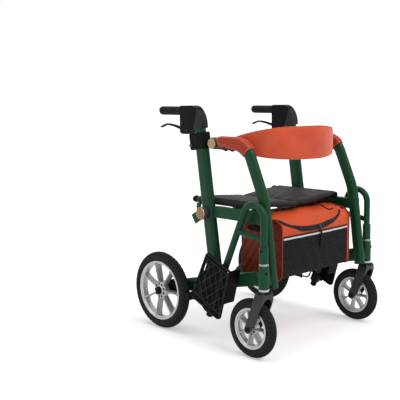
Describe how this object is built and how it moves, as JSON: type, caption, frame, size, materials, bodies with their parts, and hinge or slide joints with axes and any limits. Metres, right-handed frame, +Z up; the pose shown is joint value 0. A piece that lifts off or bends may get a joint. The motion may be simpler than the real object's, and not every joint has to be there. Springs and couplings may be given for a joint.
{
  "type": "rollator transport chair",
  "caption": "Folding rollator that converts to a transport chair, with a padded seat, under-seat bag, swing-over backrest band, hand brakes and swing-away footrests.",
  "frame": {"origin": "on the floor, under the middle of the bounding box", "axes": "+Z up, the front faces -Y, the right side of a person walking behind it is -X"},
  "size_m": [0.666, 0.7349, 0.8534],
  "materials": {
    "frame_green": "satin",
    "black_plastic": "matte",
    "bright_steel": "satin",
    "rim_silver": "satin",
    "tyre_rubber": "matte",
    "grip_rubber": "matte",
    "tan_leather": "satin",
    "copper_cap": "satin",
    "seat_fabric": "matte",
    "bag_cover": "matte"
  },
  "bodies": {
    "frame_right": {"armrest_tube_right": "frame_green", "seat_rail_right": "frame_green", "lower_arm_right": "frame_green", "armrest_pad_right": "tan_leather", "rear_axle_right": "bright_steel", "pivot_bolt_right": "bright_steel", "brake_cable_right": "black_plastic", "bag": "bag_cover"},
    "brace_a": {"brace_a": "frame_green", "seat_half_left": "seat_fabric"},
    "brace_b": {"brace_b": "frame_green", "seat_half_right": "seat_fabric"},
    "frame_left": {"armrest_tube_left": "frame_green", "seat_rail_left": "frame_green", "lower_arm_left": "frame_green", "armrest_pad_left": "tan_leather", "rear_axle_left": "bright_steel", "pivot_bolt_left": "bright_steel", "brake_cable_left": "black_plastic"},
    "upright_right": {"upright_right": "frame_green", "height_clamp_right": "black_plastic"},
    "height_button_right": {"height_button_right": "black_plastic"},
    "tilt_knob_right": {"tilt_knob_right": "copper_cap"},
    "handle_right": {"handle_tube_right": "frame_green", "handle_head_right": "black_plastic", "grip_right": "grip_rubber"},
    "brake_lever_right": {"brake_lever_right": "black_plastic"},
    "brake_arm_right": {"brake_arm_right": "black_plastic"},
    "rear_wheel_right": {"rear_tyre_right": "tyre_rubber", "rear_rim_right": "rim_silver"},
    "caster_right": {"caster_fork_right": "black_plastic", "front_axle_right": "bright_steel"},
    "front_wheel_right": {"front_tyre_right": "tyre_rubber", "front_rim_right": "rim_silver"},
    "hanger_right": {"hanger_right": "frame_green", "foot_clamp_right": "black_plastic"},
    "snap_button_right": {"snap_button_right": "bright_steel"},
    "footplate_right": {"footplate_right": "black_plastic"},
    "upright_left": {"upright_left": "frame_green", "height_clamp_left": "black_plastic"},
    "height_button_left": {"height_button_left": "black_plastic"},
    "tilt_knob_left": {"tilt_knob_left": "copper_cap"},
    "handle_left": {"handle_tube_left": "frame_green", "handle_head_left": "black_plastic", "grip_left": "grip_rubber"},
    "brake_lever_left": {"brake_lever_left": "black_plastic"},
    "brake_arm_left": {"brake_arm_left": "black_plastic"},
    "rear_wheel_left": {"rear_tyre_left": "tyre_rubber", "rear_rim_left": "rim_silver"},
    "caster_left": {"caster_fork_left": "black_plastic", "front_axle_left": "bright_steel"},
    "front_wheel_left": {"front_tyre_left": "tyre_rubber", "front_rim_left": "rim_silver"},
    "hanger_left": {"hanger_left": "frame_green", "foot_clamp_left": "black_plastic"},
    "snap_button_left": {"snap_button_left": "bright_steel"},
    "footplate_left": {"footplate_left": "black_plastic"},
    "backrest": {"backrest_band": "tan_leather", "backrest_arm_right": "copper_cap"},
    "backrest_arm_left": {"backrest_arm_left": "copper_cap"}
  },
  "joints": [
    {"name": "fold", "type": "hinge", "parent": "frame_right", "child": "brace_a", "pos_m": [-0.222, -0.094, 0.22957], "axis": [0, -1, 0], "range_deg": [0, 28], "deforming": ["seat_half_right", "seat_half_left", "backrest_band", "bag"]},
    {"name": "fold_middle", "type": "hinge", "parent": "brace_a", "child": "brace_b", "pos_m": [0, -0.094, 0.36729], "axis": [0, -1, 0], "range_deg": [-56, 0]},
    {"name": "fold_left", "type": "hinge", "parent": "brace_b", "child": "frame_left", "pos_m": [0.222, -0.094, 0.22957], "axis": [0, -1, 0], "range_deg": [0, 28]},
    {"name": "tilt_right", "type": "hinge", "parent": "frame_right", "child": "upright_right", "pos_m": [-0.256, -0.047, 0.21663], "axis": [-1, 0, 0], "range_deg": [0, 13.5]},
    {"name": "height_right", "type": "slide", "parent": "upright_right", "child": "handle_right", "axis": [0, 0.1478, 0.989], "range_m": [0, 0.125]},
    {"name": "height_button_press_right", "type": "slide", "parent": "upright_right", "child": "height_button_right", "axis": [1, 0, 0], "range_m": [0, 0.003], "stiffness_N_per_m": 400},
    {"name": "tilt_knob_turn_right", "type": "hinge", "parent": "upright_right", "child": "tilt_knob_right", "pos_m": [-0.256, -0.00916, 0.46982], "axis": [1, 0, 0], "continuous": true},
    {"name": "brake_lever_right", "type": "hinge", "parent": "handle_right", "child": "brake_lever_right", "pos_m": [-0.256, 0.11666, 0.77142], "axis": [1, 0, 0], "range_deg": [0, 16], "stiffness_Nm_per_rad": 2},
    {"name": "brake_arm_right", "type": "hinge", "parent": "frame_right", "child": "brake_arm_right", "pos_m": [-0.256, 0.0485, 0.19041], "axis": [1, 0, 0], "range_deg": [0, 2]},
    {"name": "rear_wheel_right", "type": "hinge", "parent": "frame_right", "child": "rear_wheel_right", "pos_m": [-0.291, 0.22, 0.1475], "axis": [1, 0, 0], "continuous": true},
    {"name": "caster_right", "type": "hinge", "parent": "frame_right", "child": "caster_right", "pos_m": [-0.3, -0.315, 0.247], "axis": [0, 0, 1], "continuous": true},
    {"name": "front_wheel_right", "type": "hinge", "parent": "caster_right", "child": "front_wheel_right", "pos_m": [-0.3, -0.265, 0.1025], "axis": [1, 0, 0], "continuous": true},
    {"name": "footrest_swing_right", "type": "hinge", "parent": "frame_right", "child": "hanger_right", "pos_m": [-0.3, -0.315, 0.325], "axis": [0, 0, -1], "range_deg": [-180, 0]},
    {"name": "footrest_release_right", "type": "slide", "parent": "hanger_right", "child": "snap_button_right", "axis": [1, 0, 0], "range_m": [0, 0.004], "stiffness_N_per_m": 400},
    {"name": "footplate_right", "type": "hinge", "parent": "hanger_right", "child": "footplate_right", "pos_m": [-0.322, -0.06358, 0.13098], "axis": [0, -0.915, -0.4035], "range_deg": [0, 90]},
    {"name": "tilt_left", "type": "hinge", "parent": "frame_left", "child": "upright_left", "pos_m": [0.256, -0.047, 0.21663], "axis": [-1, 0, 0], "range_deg": [0, 13.5]},
    {"name": "height_left", "type": "slide", "parent": "upright_left", "child": "handle_left", "axis": [0, 0.1478, 0.989], "range_m": [0, 0.125]},
    {"name": "height_button_press_left", "type": "slide", "parent": "upright_left", "child": "height_button_left", "axis": [-1, 0, 0], "range_m": [0, 0.003], "stiffness_N_per_m": 400},
    {"name": "tilt_knob_turn_left", "type": "hinge", "parent": "upright_left", "child": "tilt_knob_left", "pos_m": [0.256, -0.00916, 0.46982], "axis": [1, 0, 0], "continuous": true},
    {"name": "brake_lever_left", "type": "hinge", "parent": "handle_left", "child": "brake_lever_left", "pos_m": [0.256, 0.11666, 0.77142], "axis": [1, 0, 0], "range_deg": [0, 16], "stiffness_Nm_per_rad": 2},
    {"name": "brake_arm_left", "type": "hinge", "parent": "frame_left", "child": "brake_arm_left", "pos_m": [0.256, 0.0485, 0.19041], "axis": [1, 0, 0], "range_deg": [0, 2]},
    {"name": "rear_wheel_left", "type": "hinge", "parent": "frame_left", "child": "rear_wheel_left", "pos_m": [0.291, 0.22, 0.1475], "axis": [1, 0, 0], "continuous": true},
    {"name": "caster_left", "type": "hinge", "parent": "frame_left", "child": "caster_left", "pos_m": [0.3, -0.315, 0.247], "axis": [0, 0, 1], "continuous": true},
    {"name": "front_wheel_left", "type": "hinge", "parent": "caster_left", "child": "front_wheel_left", "pos_m": [0.3, -0.265, 0.1025], "axis": [1, 0, 0], "continuous": true},
    {"name": "footrest_swing_left", "type": "hinge", "parent": "frame_left", "child": "hanger_left", "pos_m": [0.3, -0.315, 0.325], "axis": [0, 0, 1], "range_deg": [-180, 0]},
    {"name": "footrest_release_left", "type": "slide", "parent": "hanger_left", "child": "snap_button_left", "axis": [-1, 0, 0], "range_m": [0, 0.004], "stiffness_N_per_m": 400},
    {"name": "footplate_left", "type": "hinge", "parent": "hanger_left", "child": "footplate_left", "pos_m": [0.322, -0.06358, 0.13098], "axis": [0, 0.915, 0.4035], "range_deg": [0, 90]},
    {"name": "backrest_swing", "type": "hinge", "parent": "frame_right", "child": "backrest", "pos_m": [-0.256, -0.044, 0.72], "axis": [-1, 0, 0], "range_deg": [0, 170]},
    {"name": "backrest_swing_left", "type": "hinge", "parent": "frame_left", "child": "backrest_arm_left", "pos_m": [0.256, -0.044, 0.72], "axis": [-1, 0, 0], "range_deg": [0, 170]}
  ],
  "couplings": [
    {"joint": "fold_middle", "follows": "fold", "ratio": -2},
    {"joint": "fold_left", "follows": "fold", "ratio": 1},
    {"joint": "brake_arm_right", "follows": "brake_lever_right", "ratio": 0.125},
    {"joint": "brake_arm_left", "follows": "brake_lever_left", "ratio": 0.125},
    {"joint": "backrest_swing_left", "follows": "backrest_swing", "ratio": 1}
  ]
}
